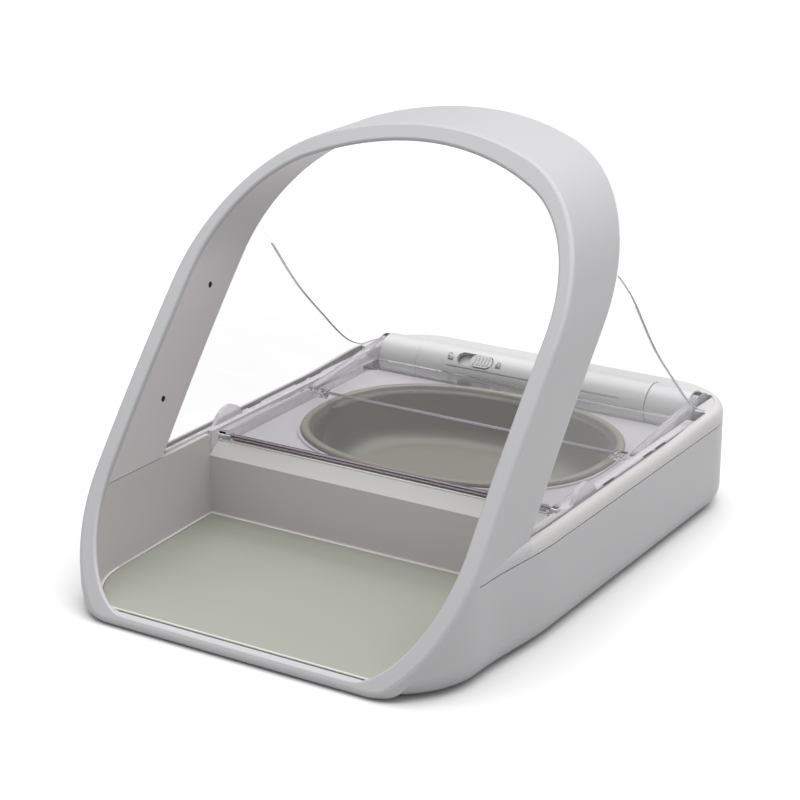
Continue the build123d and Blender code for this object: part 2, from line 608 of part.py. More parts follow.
def gear_motor():
    """The geared motor that turns the lid, inside the tube."""
    can = rod(MOTOR_R, MOTOR_X[0], MOTOR_X[1] - 18.0, TUBE_Y, AXIS_Z)
    gearbox = rod(TUBE_R - TUBE_T, MOTOR_X[1] - 18.0, MOTOR_X[1], TUBE_Y, AXIS_Z)
    return one(can + gearbox)


def drive_shaft():
    """From the motor's gearbox to the right collar."""
    return rod(DRIVE_R, MOTOR_X[1] + GAP, COLLAR_X + 12.0, TUBE_Y, AXIS_Z)


def collar(side):
    """A turning end of the tube."""
    x0, x1 = sorted((side * COLLAR_X, side * (LID_HALF_W - 0.1)))
    y, z = TUBE_Y, AXIS_Z
    ring = rod(TUBE_R, x0, x1, y, z)
    bore = rod(TUBE_R - TUBE_T, *sorted((side * (COLLAR_X - 1), side * (COLLAR_X + 10.0))), y, z)
    hub = rod(DRIVE_R + 2.5, *sorted((side * COLLAR_X, side * (COLLAR_X + 11.0))), y, z)
    shaft = rod(DRIVE_R, *sorted((side * (COLLAR_X - 1), side * (COLLAR_X + 12.0))), y, z)
    pivot = rod(SHAFT_R, *sorted((side * (LID_HALF_W - 7.0), side * LID_HALF_W)), y, z)
    return one((ring - bore) + hub - shaft - pivot)


def idle_shaft():
    """The stub that carries the left collar in the tube's end wall."""
    return rod(DRIVE_R, -COLLAR_X - 12.0, -TUBE_HALF_L + TUBE_T + 6.0, TUBE_Y, AXIS_Z)


def pivot_pins():
    """The outer pivots of the rear lid panel."""
    pin = rod(SHAFT_R, LID_HALF_W - 7.0, RAIL_OUT_X - GAP, TUBE_Y, AXIS_Z)
    return both_sides(pin)


def pivot_blocks():
    """The bearing blocks that hold the outer pivots and fill the rim's rear corners."""
    block = rod(TUBE_R, RAIL_IN_X, BLOCK_OUT_X, TUBE_Y, AXIS_Z)
    block = block + box(RAIL_IN_X, BLOCK_OUT_X, TUBE_Y - TUBE_R, TUBE_Y + TUBE_R, AXIS_Z, REAR_RIM_Z - GAP)
    block = block & plan(RIM_W + 0.1, 0.0, REAR_RIM_Z - GAP)
    return both_sides(one(block) - rod(SHAFT_R + FIT, RAIL_IN_X - 1, RAIL_OUT_X, TUBE_Y, AXIS_Z))


# ---- the folding lid -------------------------------------------------------------------------------
KNUCKLE_R = 2.5
KNUCKLE_X = [LID_HALF_W + inward for inward in (-8.0, -5.4, -5.2, -2.6, -2.4, 0.2)]
NOTCH_X = KNUCKLE_X[0] - 0.4
LUG_R = 2.4              # lugs that carry the guide pins
LUG_IN = 2.0             # how far they reach in under the panel
LID_EDGE_Z = LID_Z + LID_T + 0.8
ARM_START_Y = HINGE_Y + 10.0


def lid_sheet(y0, y1, hinge_end):
    """One clear panel with its raised side edges, notched for the hinge knuckles."""
    sheet = box(-LID_HALF_W, LID_HALF_W, y0, y1, LID_Z, LID_Z + LID_T)
    notch_end = hinge_end + (2.5 if y0 == hinge_end else -2.5)
    for side in (-1, 1):
        x0, x1 = sorted((side * (LID_HALF_W - 0.1), side * (LID_HALF_W + ARM_T)))
        sheet = sheet + box(x0, x1, y0, y1, LID_Z - 0.3, LID_EDGE_Z)
        n0, n1 = sorted((side * NOTCH_X, side * (LID_HALF_W + ARM_T + 1)))
        sheet = sheet - box(n0, n1, *sorted((hinge_end, notch_end)), 0, 99)
    return sheet


def knuckle(side, x0, x1, away):
    """One hinge knuckle on its web; away is the panel's side of the hinge."""
    x0, x1 = sorted((side * x0, side * x1))
    web = box(x0, x1, *sorted((HINGE_Y, HINGE_Y + away * 4.5)), LID_Z, LID_Z + 1.9)
    return rod(KNUCKLE_R, x0, x1, HINGE_Y, AXIS_Z) + web


def lid_front_panel():
    """The front half of the folding lid, with the middle knuckles and the guide pins' lugs."""
    panel = lid_sheet(PIN_Y - LID_REACH, HINGE_Y - 0.5, HINGE_Y - 0.5)
    for side in (-1, 1):
        panel = panel + knuckle(side, KNUCKLE_X[2], KNUCKLE_X[3], -1)
        x0, x1 = sorted((side * (KNUCKLE_X[2] - 1), side * (KNUCKLE_X[3] + 1)))
        panel = panel - rod(HINGE_PIN_R + FIT, x0, x1, HINGE_Y, AXIS_Z)
        x0, x1 = sorted((side * (LID_HALF_W - LUG_IN), side * (LID_HALF_W + ARM_T)))
        panel = panel + rod(LUG_R, x0, x1, PIN_Y, AXIS_Z)
        panel = panel + box(x0, x1, PIN_Y - LUG_R, PIN_Y + LUG_R, AXIS_Z, LID_Z + LID_T / 2)
        x0, x1 = sorted((side * (LID_HALF_W - LUG_IN), side * (LID_HALF_W + ARM_T + 1)))
        panel = panel - rod(GUIDE_PIN_R, x0, x1, PIN_Y, AXIS_Z)
    return one(panel)


def guide_pins():
    """The pins that run in the side rails' grooves."""
    return both_sides(rod(GUIDE_PIN_R, LID_HALF_W - LUG_IN, RAIL_IN_X + GROOVE_D - GAP, PIN_Y, AXIS_Z))


def lid_seal():
    """The soft strip under the lid's front edge."""
    return box(-LID_HALF_W + 4, LID_HALF_W - 4, PIN_Y - LID_REACH + 0.2, PIN_Y + 1.0, LID_Z - SEAL_T, LID_Z)


def arm_rise(x0, x1):
    """The upper part of a side arm, rising from the middle hinge to the round end."""
    foot = LID_EDGE_Z - 1.0
    crest = (TUBE_Y - 3.0, AXIS_Z + END_DISC_R - 0.5)
    corners = [(ARM_START_Y, foot), (ARM_START_Y, LID_EDGE_Z), crest, (TUBE_Y, foot)]
    outline = make_face(Polyline(*corners, close=True))
    return Pos(x0, 0, 0) * extrude(Plane.YZ * outline, x1 - x0)


def lid_rear_panel():
    """The rear half of the folding lid: knuckles in front, arms and end discs at the tube."""
    panel = lid_sheet(HINGE_Y + 0.5, TUBE_Y - TUBE_R - 2.5, HINGE_Y + 0.5)
    for side in (-1, 1):
        for x0, x1 in (KNUCKLE_X[0:2], KNUCKLE_X[4:6]):
            panel = panel + knuckle(side, x0, x1, 1)
        x0, x1 = sorted((side * (KNUCKLE_X[0] - 0.5), side * KNUCKLE_X[5]))
        panel = panel - rod(HINGE_PIN_R, x0, x1, HINGE_Y, AXIS_Z)
        x0, x1 = sorted((side * LID_HALF_W, side * (LID_HALF_W + ARM_T)))
        panel = panel + box(x0, x1, TUBE_Y - TUBE_R - 4.0, TUBE_Y, LID_Z - 0.3, LID_EDGE_Z)
        panel = panel + arm_rise(x0, x1)
        panel = panel + rod(END_DISC_R, x0, x1, TUBE_Y, AXIS_Z)
        panel = panel - rod(SHAFT_R, x0 - 1, x1 + 1, TUBE_Y, AXIS_Z)
    return one(panel)


def hinge_pins():
    """The two pins of the lid's middle hinge."""
    return both_sides(rod(HINGE_PIN_R, KNUCKLE_X[0], KNUCKLE_X[5], HINGE_Y, AXIS_Z))


def side_rail(side):
    """A clear side rail: a groove for the guide pin, and a round ear at the lid's front corner."""
    main = box(RAIL_IN_X, RAIL_OUT_X, WELL_BACK_Y + 2.5, RAIL_REAR_Y, DECK_Z, RAIL_TOP_Z)
    front = box(WELL_HALF_W + WALL + 0.2, RAIL_OUT_X, RAIL_FRONT_Y, WELL_BACK_Y + 2.5, SEAM_Z, RAIL_TOP_Z)
    ear = rod(EAR_R, RAIL_OUT_X - 2.0, RAIL_OUT_X, EAR_Y, SEAM_Z)
    ear = ear & box(0.0, HALF_W, -60.0, 60.0, SEAM_Z + 2, 80.0)
    groove = box(RAIL_IN_X - 1, RAIL_IN_X + GROOVE_D, PIN_Y - 2.5, RAIL_REAR_Y - 6.0,
                 AXIS_Z - GROOVE_H / 2, AXIS_Z + GROOVE_H / 2)
    rail = one((main + front + ear) - groove)
    return rail if side > 0 else mirror(rail, Plane.YZ)


def cover_form(inset):
    """The clear cover's outer form, filled, inset evenly: a plain arch inside the rims."""
    drawn_in = NOSE_HALF_W - COVER_OUT_X + inset
    outer = arch(COVER_OUT_X - inset, ARCH_SHOULDER_Z, ARCH_SHOULDER_R - drawn_in, HEIGHT - drawn_in, 0.0)
    return outer & plan(RIM_W + GAP + inset, 0.0, HEIGHT + 5.0)


def rear_cover():
    """The clear cover: two side walls behind the hoop, joined by a bow behind the arch."""
    shell = (cover_form(0.0) - cover_form(COVER_T)) & slab(BAND + GAP, 400.0)
    points = [(y, SEAM_Z + share * (HEIGHT - SEAM_Z)) for y, share in COVER_CURVE]
    start, end = points[0], points[-1]
    low = [(-100.0, SEAM_Z + GAP), (-100.0, start[1])]
    outline = make_face([
        Line(low[0], low[1]), Line(low[1], start), Spline(*points),
        Line(end, (end[0], low[0][1])), Line((end[0], low[0][1]), low[0]),
    ])
    walls = shell & extrude(Plane.YZ * outline, BOTH_WAYS, both=True)
    bow = shell & slab(BAND + GAP, BAND + GAP + COVER_BOW)
    bow = bow & box(-HALF_W, HALF_W, -200.0, 200.0, start[1] - BOW_DROP, HEIGHT)
    return one(walls + bow)


# ---- power, electronics and controls ----------------------------------------------------------------
def battery_cells():
    """Four C cells, two in line down each side."""
    cells = []
    for side in (-1, 1):
        for end in (-1, 1):
            mid = CELL_MID_Y + end * (CELL_L / 2 + 1.0)
            nub_y = mid - side * (CELL_L / 2 + 0.5)
            can = Pos(side * CELL_X, mid, CELL_Z) * Rot(90, 0, 0) * Cylinder(CELL_R, CELL_L)
            nub = Pos(side * CELL_X, nub_y, CELL_Z) * Rot(90, 0, 0) * Cylinder(3.2, 1.0)
            cells.append(can + nub)
    return Compound([one(c) for c in cells])


def battery_contacts():
    """A sprung contact plate at each end of each row of cells."""
    plates = []
    for side in (-1, 1):
        for end in (-1, 1):
            y = CELL_MID_Y + end * (CELL_L + 3.2 - CONTACT_T / 2)
            plates.append(Pos(side * CELL_X, y, CELL_Z - 1.0) * Box(14.0, CONTACT_T, 5.0))
    return Compound(plates)


def control_board():
    """The control board behind the bowl, on four short legs."""
    board = box(-50.0, 50.0, 112.0, 146.0, BOARD_Z, BOARD_TOP_Z)
    chip_z = BOARD_TOP_Z + 1.4
    chips = box(-20.0, -8.0, 122.0, 134.0, BOARD_TOP_Z, chip_z)
    chips = chips + box(8.0, 26.0, 124.0, 132.0, BOARD_TOP_Z, chip_z + 1.0)
    legs = [post(2.5, x, y, FLOOR_Z, BOARD_Z) for x in (-44.0, 44.0) for y in (118.0, 140.0)]
    solid = board + chips
    for leg in legs:
        solid = solid + leg
    return one(solid)


def switch_board():
    """The small board behind the three buttons, with a switch for each."""
    y0 = SWITCH_Y + SWITCH_T
    board = box(-34.0, 50.0, SWITCH_Y, y0, BOARD_TOP_Z, BUTTON_Z + 6.0)
    for x in BUTTON_X:
        board = board + box(x - 2.5, x + 2.5, y0, y0 + SWITCH_PROUD, BUTTON_Z - 2.5, BUTTON_Z + 2.5)
    return one(board)


def push_button(x):
    """One round push button through the back wall, with a flange that keeps it in."""
    cap = Pos(x, 0, BUTTON_Z) * Rot(90, 0, 0)
    flange_y = REAR_Y - WALL - GAP
    body = Pos(0, (REAR_Y + BUTTON_PROUD + flange_y) / 2, 0) * cap
    stem = body * Cylinder(BUTTON_R, REAR_Y + BUTTON_PROUD - flange_y)
    flange = Pos(0, flange_y - 0.6, 0) * cap * Cylinder(BUTTON_R + 2 * GAP, 1.2)
    plunger_y0 = SWITCH_Y + SWITCH_T + SWITCH_PROUD + 1.9
    plunger = Pos(0, (plunger_y0 + flange_y) / 2, 0) * cap * Cylinder(1.5, flange_y - plunger_y0)
    stem = fillet(stem.edges().sort_by(Axis.Y)[-1], 0.8)
    return one(stem + flange + plunger)


def status_light():
    """The light pipe beside the buttons."""
    y0, y1 = SWITCH_Y + SWITCH_T, REAR_Y + 0.3
    return Pos(LIGHT_X, (y0 + y1) / 2, BUTTON_Z) * Rot(90, 0, 0) * Cylinder(LIGHT_R, y1 - y0)


def housing_screws():
    """The four screws from below."""
    screws = []
    for x, y in SCREW_SPOTS:
        z = BASE_Z + 0.6
        screw = post(SCREW_HEAD_R, x, y, z, z + SCREW_HEAD_T) + post(SCREW_R, x, y, z, SCREW_TOP_Z - 1)
        socket = Pos(x, y, z) * extrude(RegularPolygon(1.4, 6), 1.2)
        screws.append(one(screw - socket))
    return Compound(screws)


def foot_pads():
    """Four soft feet let into the tub's underside."""
    return Compound([post(FOOT_R, x, y, 0.0, FOOT_T) for x, y in FOOT_SPOTS])


PARTS = {
    "base_tub": base_tub, "upper_deck": upper_deck, "mat": mat,
    "hoop_outer": hoop_outer, "hoop_liner": hoop_liner, "sensor_windows": sensor_windows,
    "antenna_coil": antenna_coil,
    "bowl_tray": bowl_tray, "bowl": bowl,
    "tube_cover": tube_cover, "tube_cradle": tube_cradle, "gear_motor": gear_motor,
    "lock_slider": lock_slider,
    "drive_shaft": drive_shaft, "idle_shaft": idle_shaft, "pivot_pins": pivot_pins,
    "pivot_blocks": pivot_blocks,
    "collar_left": lambda: collar(-1), "collar_right": lambda: collar(1),
    "lid_rear_panel": lid_rear_panel, "lid_front_panel": lid_front_panel,
    "hinge_pins": hinge_pins, "guide_pins": guide_pins, "lid_seal": lid_seal,
    "side_rail_left": lambda: side_rail(-1), "side_rail_right": lambda: side_rail(1),
    "rear_cover": rear_cover,
    "battery_cells": battery_cells, "battery_contacts": battery_contacts,
    "battery_cover_left": lambda: battery_cover(-1), "battery_cover_right": lambda: battery_cover(1),
    "control_board": control_board, "switch_board": switch_board,
    "button_left": lambda: push_button(BUTTON_X[0]),
    "button_middle": lambda: push_button(BUTTON_X[1]),
    "button_right": lambda: push_button(BUTTON_X[2]),
    "status_light": status_light, "housing_screws": housing_screws, "foot_pads": foot_pads,
}

if __name__ == "__main__":
    os.makedirs("parts", exist_ok=True)
    for name, make in PARTS.items():
        export_step(make(), f"parts/{name}.step")
        print("wrote", name)
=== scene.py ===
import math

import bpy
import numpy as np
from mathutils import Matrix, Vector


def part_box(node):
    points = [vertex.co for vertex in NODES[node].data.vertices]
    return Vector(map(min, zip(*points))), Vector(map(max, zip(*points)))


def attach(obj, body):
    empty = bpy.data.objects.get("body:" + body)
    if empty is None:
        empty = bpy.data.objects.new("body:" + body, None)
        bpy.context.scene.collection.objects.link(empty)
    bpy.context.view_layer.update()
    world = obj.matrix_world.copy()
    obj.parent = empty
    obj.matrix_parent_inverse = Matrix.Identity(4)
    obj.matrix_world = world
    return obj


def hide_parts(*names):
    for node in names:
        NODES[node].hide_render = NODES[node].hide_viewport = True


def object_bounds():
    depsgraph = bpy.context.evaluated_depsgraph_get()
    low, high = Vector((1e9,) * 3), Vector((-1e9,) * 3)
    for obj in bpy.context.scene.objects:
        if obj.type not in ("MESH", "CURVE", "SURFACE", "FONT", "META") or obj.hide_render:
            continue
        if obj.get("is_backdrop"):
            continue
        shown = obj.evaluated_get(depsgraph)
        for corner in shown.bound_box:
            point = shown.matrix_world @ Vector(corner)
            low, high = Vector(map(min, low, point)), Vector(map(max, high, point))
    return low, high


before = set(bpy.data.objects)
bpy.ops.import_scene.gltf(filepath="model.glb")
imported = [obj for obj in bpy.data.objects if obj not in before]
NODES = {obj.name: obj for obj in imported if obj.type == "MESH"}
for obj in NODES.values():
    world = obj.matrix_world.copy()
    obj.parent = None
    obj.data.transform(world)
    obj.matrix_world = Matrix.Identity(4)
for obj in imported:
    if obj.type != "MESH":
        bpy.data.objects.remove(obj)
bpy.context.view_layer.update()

# %% [markdown]
# A microchip pet feeder: a leaning hoop over a shallow tub, a soft mat in front, and a bowl
# under a clear lid that folds back on a tube. The solid model gives the exact frame, in metres.
# This notebook dresses that frame: a camera, a pale studio, a finish for each plastic, and new
# surfaces for the pieces whose small shapes matter most to the eye.

MM = 0.001


def corners():
    """The lowest and highest corner of everything shown, as plain lists."""
    return [list(corner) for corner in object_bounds()]


# %% [markdown]
# The camera stands in front and to the right, a little above the hoop's top, with a long lens.
# Its place was worked out from the photograph's own lines: the seam along the side, the front
# edge of the lid and the outline of the hoop.

# %% Camera
CAMERA_PLACE = (0.53146, -0.87161, 0.43745)
CAMERA_TARGET = (-0.00841, 0.0, 0.07367)
SENSOR = 36.0
FOCAL_PX = 2230.0        # focal length, in pixels of the photograph
IMAGE_PX = 800.0         # width of the photograph, in pixels
CLIP_END = 50.0


def look_at(thing, place, target):
    """Turn a camera or lamp at place so that its -Z axis points at target, with +Z upwards."""
    back = np.array(place, float) - np.array(target, float)
    back /= np.linalg.norm(back)
    right = np.cross((0.0, 0.0, 1.0), back)
    right /= np.linalg.norm(right)
    up = np.cross(back, right)
    turn = np.eye(4)
    turn[:3, 0], turn[:3, 1], turn[:3, 2], turn[:3, 3] = right, up, back, place
    thing.matrix_world = Matrix(turn.tolist())


camera = bpy.data.objects.new("camera", bpy.data.cameras.new("camera"))
bpy.context.scene.collection.objects.link(camera)
camera.data.sensor_width = SENSOR
camera.data.lens = SENSOR * FOCAL_PX / IMAGE_PX
camera.data.clip_end = CLIP_END
look_at(camera, CAMERA_PLACE, CAMERA_TARGET)
bpy.context.scene.camera = camera
print("lens, mm:", round(camera.data.lens, 1))

# %% [markdown]
# A product shot on white: a wide pale floor, an even white surround and one large soft lamp
# above. Plastics this light need the surround a little dimmer than the lamp, or their sides
# would be as bright as their tops and the form would be lost. So the surround's light grows with
# height, and only the camera itself sees it pure white.

# %% Surround
DOME_BASE = 0.27                  # light from the horizon
DOME_RISE = (0.0, -0.06, 0.45)    # growth of the light along each axis, so 0.72 straight up


def linear(hex_colour):
    """An sRGB hex colour as linear RGBA: each channel c becomes ((c + 0.055) / 1.055) ** 2.4."""
    channels = [int(hex_colour[i:i + 2], 16) / 255 for i in (1, 3, 5)]
    return [c / 12.92 if c <= 0.04045 else ((c + 0.055) / 1.055) ** 2.4 for c in channels] + [1.0]


def add(tree, kind, **settings):
    """Add a node. A setting named for a socket fills or links it, any other is an attribute."""
    node = tree.nodes.new(kind)
    for name, value in settings.items():
        socket = name.replace("_", " ")
        match = [s for s in node.inputs if s.name == socket]
        if not match:
            setattr(node, name, value)
        elif isinstance(value, bpy.types.NodeSocket):
            tree.links.new(value, match[0])
        else:
            match[0].default_value = value
    return node


world = bpy.data.worlds.new("studio")
world.use_nodes = True
sky_tree = world.node_tree
surround = sky_tree.nodes["Background"]
surround.inputs["Color"].default_value = linear("#FFFFFF")
rise = add(sky_tree, "ShaderNodeVectorMath", operation="DOT_PRODUCT")
sky_tree.links.new(add(sky_tree, "ShaderNodeTexCoord").outputs["Generated"], rise.inputs[0])
rise.inputs[1].default_value = DOME_RISE
lit = add(sky_tree, "ShaderNodeMath", operation="ADD")
sky_tree.links.new(rise.outputs["Value"], lit.inputs[0])
lit.inputs[1].default_value = DOME_BASE
seen = add(sky_tree, "ShaderNodeMath", operation="MAXIMUM")
sky_tree.links.new(lit.outputs[0], seen.inputs[0])
sky_tree.links.new(add(sky_tree, "ShaderNodeLightPath").outputs["Is Camera Ray"], seen.inputs[1])
sky_tree.links.new(seen.outputs[0], surround.inputs["Strength"])
bpy.context.scene.world = world
bpy.context.scene.view_settings.view_transform = "Standard"
print("surround, level to straight up:", DOME_BASE, "to", DOME_BASE + DOME_RISE[2])

# %% [markdown]
# The floor is a plain square, far wider than the picture. The lamp is a sun with a very wide
# disc: it works as a ceiling of soft boxes and gives even light with a broad, soft shadow.

# %% Floor and lamp
FLOOR_SIZE = 24.0
LAMP_STRENGTH = 2.95
LAMP_SPREAD = 75.0                # degrees across: wider is softer
LAMP_PLACE = (0.04, 0.24, 1.0)    # only its direction counts: nearly overhead, a little behind

far = FLOOR_SIZE / 2
floor_mesh = bpy.data.meshes.new("floor")
floor_corners = [(-far, -far, 0), (far, -far, 0), (far, far, 0), (-far, far, 0)]
floor_mesh.from_pydata(floor_corners, [], [(0, 1, 2, 3)])
floor = bpy.data.objects.new("floor", floor_mesh)
bpy.context.scene.collection.objects.link(floor)
floor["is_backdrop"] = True
sky = bpy.data.objects.new("sky_panel", bpy.data.lights.new("sky_panel", "SUN"))
sky.data.energy = LAMP_STRENGTH
sky.data.angle = math.radians(LAMP_SPREAD)
bpy.context.scene.collection.objects.link(sky)
look_at(sky, LAMP_PLACE, (0.0, 0.0, 0.0))
print("floor, m:", FLOOR_SIZE, "lamp, degrees across:", LAMP_SPREAD)

# %% [markdown]
# The floor is matt white paper. To the feeder it counts as a little darker than to the camera:
# a photographer does the same with dark card beside the product, so that its sides keep their
# shading. A material's base is made by one small function, and another mixes two colours.

# %% Floor finish
def material(name, colour, roughness, **sockets):
    """A new material: its node tree and its Principled shader with constant sockets set."""
    made = bpy.data.materials.new(name)
    made.use_nodes = True
    shader = made.node_tree.nodes["Principled BSDF"]
    sockets.update({"Base Color": linear(colour), "Roughness": roughness})
    for socket, value in sockets.items():
        shader.inputs[socket].default_value = value
    return made, made.node_tree, shader


def blend_colours(tree, share, first, second):
    """The colour first * (1 - share) + second * share; each is a colour or a socket."""
    mix = add(tree, "ShaderNodeMix", data_type="RGBA")
    tree.links.new(share, [s for s in mix.inputs if s.name == "Factor" and s.type == "VALUE"][0])
    for name, value in (("A", first), ("B", second)):
        target = [s for s in mix.inputs if s.name == name and s.type == "RGBA"][0]
        if isinstance(value, bpy.types.NodeSocket):
            tree.links.new(value, target)
        else:
            target.default_value = value
    return [s for s in mix.outputs if s.type == "RGBA"][0]


PAPER_SEEN, PAPER_BOUNCE = "#E7E7E7", "#B4B4B4"
paper, paper_tree, paper_shader = material("paper_white_floor", PAPER_SEEN, 0.9)
bounced = add(paper_tree, "ShaderNodeLightPath").outputs["Is Diffuse Ray"]
paper_colour = blend_colours(paper_tree, bounced, linear(PAPER_SEEN), linear(PAPER_BOUNCE))
paper_tree.links.new(paper_colour, paper_shader.inputs["Base Color"])
floor.data.materials.append(paper)
print("floor finish:", paper.name)

# %% [markdown]
# ABS out of a spark-eroded mould has a fine even grain, about a third of a millimetre, that
# breaks up highlights and hides flow marks. A picture shows about two pixels to a millimetre,
# so the grain is drawn at one millimetre, the finest that shows. Moulded plastics reflect like
# any with an index of 1.5, and differ in roughness: 0.28 polished, 0.42 satin, over 0.6 soft.

# %% Moulded plastics
GRAIN_MM = 1.0           # one grain of the mould's finish, drawn coarser than life
GRAIN_DEPTH_MM = 0.01
FINE_DEPTH_MM = 0.002    # on polished trim
GRAIN_STRENGTH = 0.5
BLOTCH_MM = 60.0         # width of the faint, broad changes of shade


def grain(tree, shader, depth_mm):
    """Fine noise on Object coordinates lifts the surface by up to depth_mm."""
    place = add(tree, "ShaderNodeTexCoord").outputs["Object"]
    fine = add(tree, "ShaderNodeTexNoise", Vector=place, Scale=1 / (GRAIN_MM * MM), Detail=2.0)
    bump = add(tree, "ShaderNodeBump", Height=fine.outputs["Fac"], Strength=GRAIN_STRENGTH,
               Distance=depth_mm * MM)
    tree.links.new(bump.outputs["Normal"], shader.inputs["Normal"])


def shade(tree, shader, colour, tint):
    """Broad noise on Object coordinates drifts the colour towards the tint and back."""
    place = add(tree, "ShaderNodeTexCoord").outputs["Object"]
    broad = add(tree, "ShaderNodeTexNoise", Vector=place, Scale=1 / (BLOTCH_MM * MM), Detail=1.0)
    mixed = blend_colours(tree, broad.outputs["Fac"], linear(colour), linear(tint))
    tree.links.new(mixed, shader.inputs["Base Color"])


def moulded(name, colour, tint, roughness, depth_mm=GRAIN_DEPTH_MM, **sockets):
    """A moulded plastic, rubber or plain metal with its grain and its faint drift of shade."""
    made, tree, shader = material(name, colour, roughness, **sockets)
    grain(tree, shader, depth_mm)
    shade(tree, shader, colour, tint)
    return made


# ABS with a spark finish: a broad soft sheen on every curve and no sharp reflection
abs_shell = moulded("satin_abs_light_grey", "#BDBDBF", "#BABABC", 0.42)
abs_deck = moulded("satin_abs_deck", "#C9C6C6", "#C6C3C3", 0.42)
# the same ABS, painted lighter and a shade warmer: painted light on the hoop's inner skin
abs_liner_painted_light = moulded("satin_abs_hoop_liner_painted_light", "#D3CFD2", "#D0CCCF", 0.45)
# ABS polished smooth: one long highlight runs along the hinge tube
abs_tube = moulded("smooth_abs_white", "#C9C9CA", "#C6C6C7", 0.28, depth_mm=0.004)
# polypropylene: a waxy sheen and a faint lilac cast
pp_tray = moulded("satin_pp_lilac_white", "#CAC6CB", "#C7C3C8", 0.4)
# elastomer pressed against a matt plate: flat sage, nearly without shine
tpe_mat = moulded("soft_tpe_sage", "#9C9E94", "#999B91", 0.62)
# silicone keys and rubber feet: soft and dull; the seal is a thin plum line under the lid
soft_button = moulded("silicone_mid_grey", "#B9B9BD", "#B4B4B8", 0.6)
foot_rubber = moulded("rubber_foot_charcoal", "#4A4A4C", "#444446", 0.75)
seal_rubber = moulded("soft_seal_plum_grey", "#7C6670", "#76606A", 0.45)
# smoked window, sunk in the leg: it swallows light and reflects very little
sensor_black = moulded("smoked_window_black", "#040406", "#030305", 0.3, depth_mm=0.001,
                       **{"Specular IOR Level": 0.15})
# lacquer over a circuit board, printed film round a cell, milky acrylic light pipe
circuit = moulded("solder_resist_green", "#1E5634", "#1A4C2E", 0.3)
cell_film = moulded("cell_wrap_dark", "#2A2B30", "#26272B", 0.25)
light_pipe = moulded("milky_light_pipe", "#E9EDE6", "#E4E8E1", 0.3)
# metals keep the default index: nickel plating drawn smooth, lacquered winding wire
steel = moulded("nickel_plated_steel", "#C9C9C7", "#C2C2C0", 0.3, Metallic=1.0)
copper = moulded("enamelled_copper", "#B06A3C", "#A66236", 0.35, Metallic=1.0)
print("opaque finishes made")

# %% [markdown]
# The lid, the rails and the cover are clear styrene copolymer, polished like glass. Real
# refraction is used rather than a see-through alpha, because the bright and dark lines along
# every edge are what tells the eye that the sheet is there. The plastic's index is 1.57. With it
# the edges' lines come out broader and darker than the real ones, whose edges are rounded, so
# the index is lowered until they match. A glass shader also blocks the lamp, so light that is on
# its way to a matt surface is let straight through.

# %% Clear plastic
def clear_plastic(name, colour, roughness, index, clarity):
    """A clear sheet: glass to the eye, see-through to shadow and diffuse rays."""
    sockets = {"IOR": index, "Transmission Weight": clarity}
    made, tree, shader = material(name, colour, roughness, **sockets)
    ray = add(tree, "ShaderNodeLightPath").outputs
    lets_light = add(tree, "ShaderNodeMath", operation="MAXIMUM")
    tree.links.new(ray["Is Shadow Ray"], lets_light.inputs[0])
    tree.links.new(ray["Is Diffuse Ray"], lets_light.inputs[1])
    see_through = add(tree, "ShaderNodeBsdfTransparent", Color=linear("#F7F7F7"))
    blend = add(tree, "ShaderNodeMixShader")
    tree.links.new(lets_light.outputs[0], blend.inputs[0])
    tree.links.new(shader.outputs[0], blend.inputs[1])
    tree.links.new(see_through.outputs[0], blend.inputs[2])
    tree.links.new(blend.outputs[0], tree.nodes["Material Output"].inputs["Surface"])
    return made


# polished sheets: the bowl shows sharply through them, and only the edges draw lines
clear_lid = clear_plastic("polished_clear_san_lid", "#FCFCFC", 0.03, 1.3, 1.0)
clear_cover = clear_plastic("polished_clear_san_cover", "#EFEFF0", 0.02, 1.18, 1.0)
# thick moulded pieces: the mould's faint texture on every side makes them milky
clear_arm = clear_plastic("clear_san_arm", "#EFEDF1", 0.1, 1.25, 0.72)
clear_rail = clear_plastic("clear_san_rail", "#F6F4F7", 0.08, 1.25, 0.55)
print("clear finishes:", clear_lid.name, clear_cover.name, clear_arm.name, clear_rail.name)

# %% [markdown]
# Every node of the solid model that stays gets the finish of the real piece.

# %% Finishes for the solid model
FINISHES = {
    abs_shell: ("base_tub", "hoop_outer", "battery_cover_left", "battery_cover_right"),
    abs_deck: ("upper_deck",),
    abs_liner_painted_light: ("hoop_liner",),
    tpe_mat: ("mat",),
    pp_tray: ("bowl_tray",),
    abs_tube: ("tube_cover", "tube_cradle", "lock_slider", "collar_left", "collar_right", "pivot_blocks",
               "pivot_pins", "guide_pins"),
    clear_lid: ("lid_rear_panel", "lid_front_panel", "hinge_pins"),
    clear_rail: ("side_rail_left", "side_rail_right"),
    clear_cover: ("rear_cover",),
    soft_button: ("button_left", "button_middle", "button_right"),
    foot_rubber: ("foot_pads",),
    seal_rubber: ("lid_seal",),
    sensor_black: ("sensor_windows",),
    circuit: ("control_board", "switch_board"),
    cell_film: ("battery_cells",),
    light_pipe: ("status_light",),
    steel: ("gear_motor", "drive_shaft", "idle_shaft", "battery_contacts", "housing_screws"),
    copper: ("antenna_coil",),
}
for finish, names in FINISHES.items():
    for name in names:
        NODES[name].data.materials.clear()
        NODES[name].data.materials.append(finish)
print("finished nodes:", sum(len(names) for names in FINISHES.values()), "of", len(NODES))

# %% [markdown]
# Some pieces are seen so close that their small shapes carry the picture: the bowl's rolled rim,
# the bright edge of the cover, the marks on the tube. These are new surfaces. Each one is a grid
# of points worked out from a formula, so a change of one number reshapes the whole piece.

# %% Surfaces from grids
def unit(vectors):
    """Vectors divided by their own lengths."""
    return vectors / np.linalg.norm(vectors, axis=-1, keepdims=True)


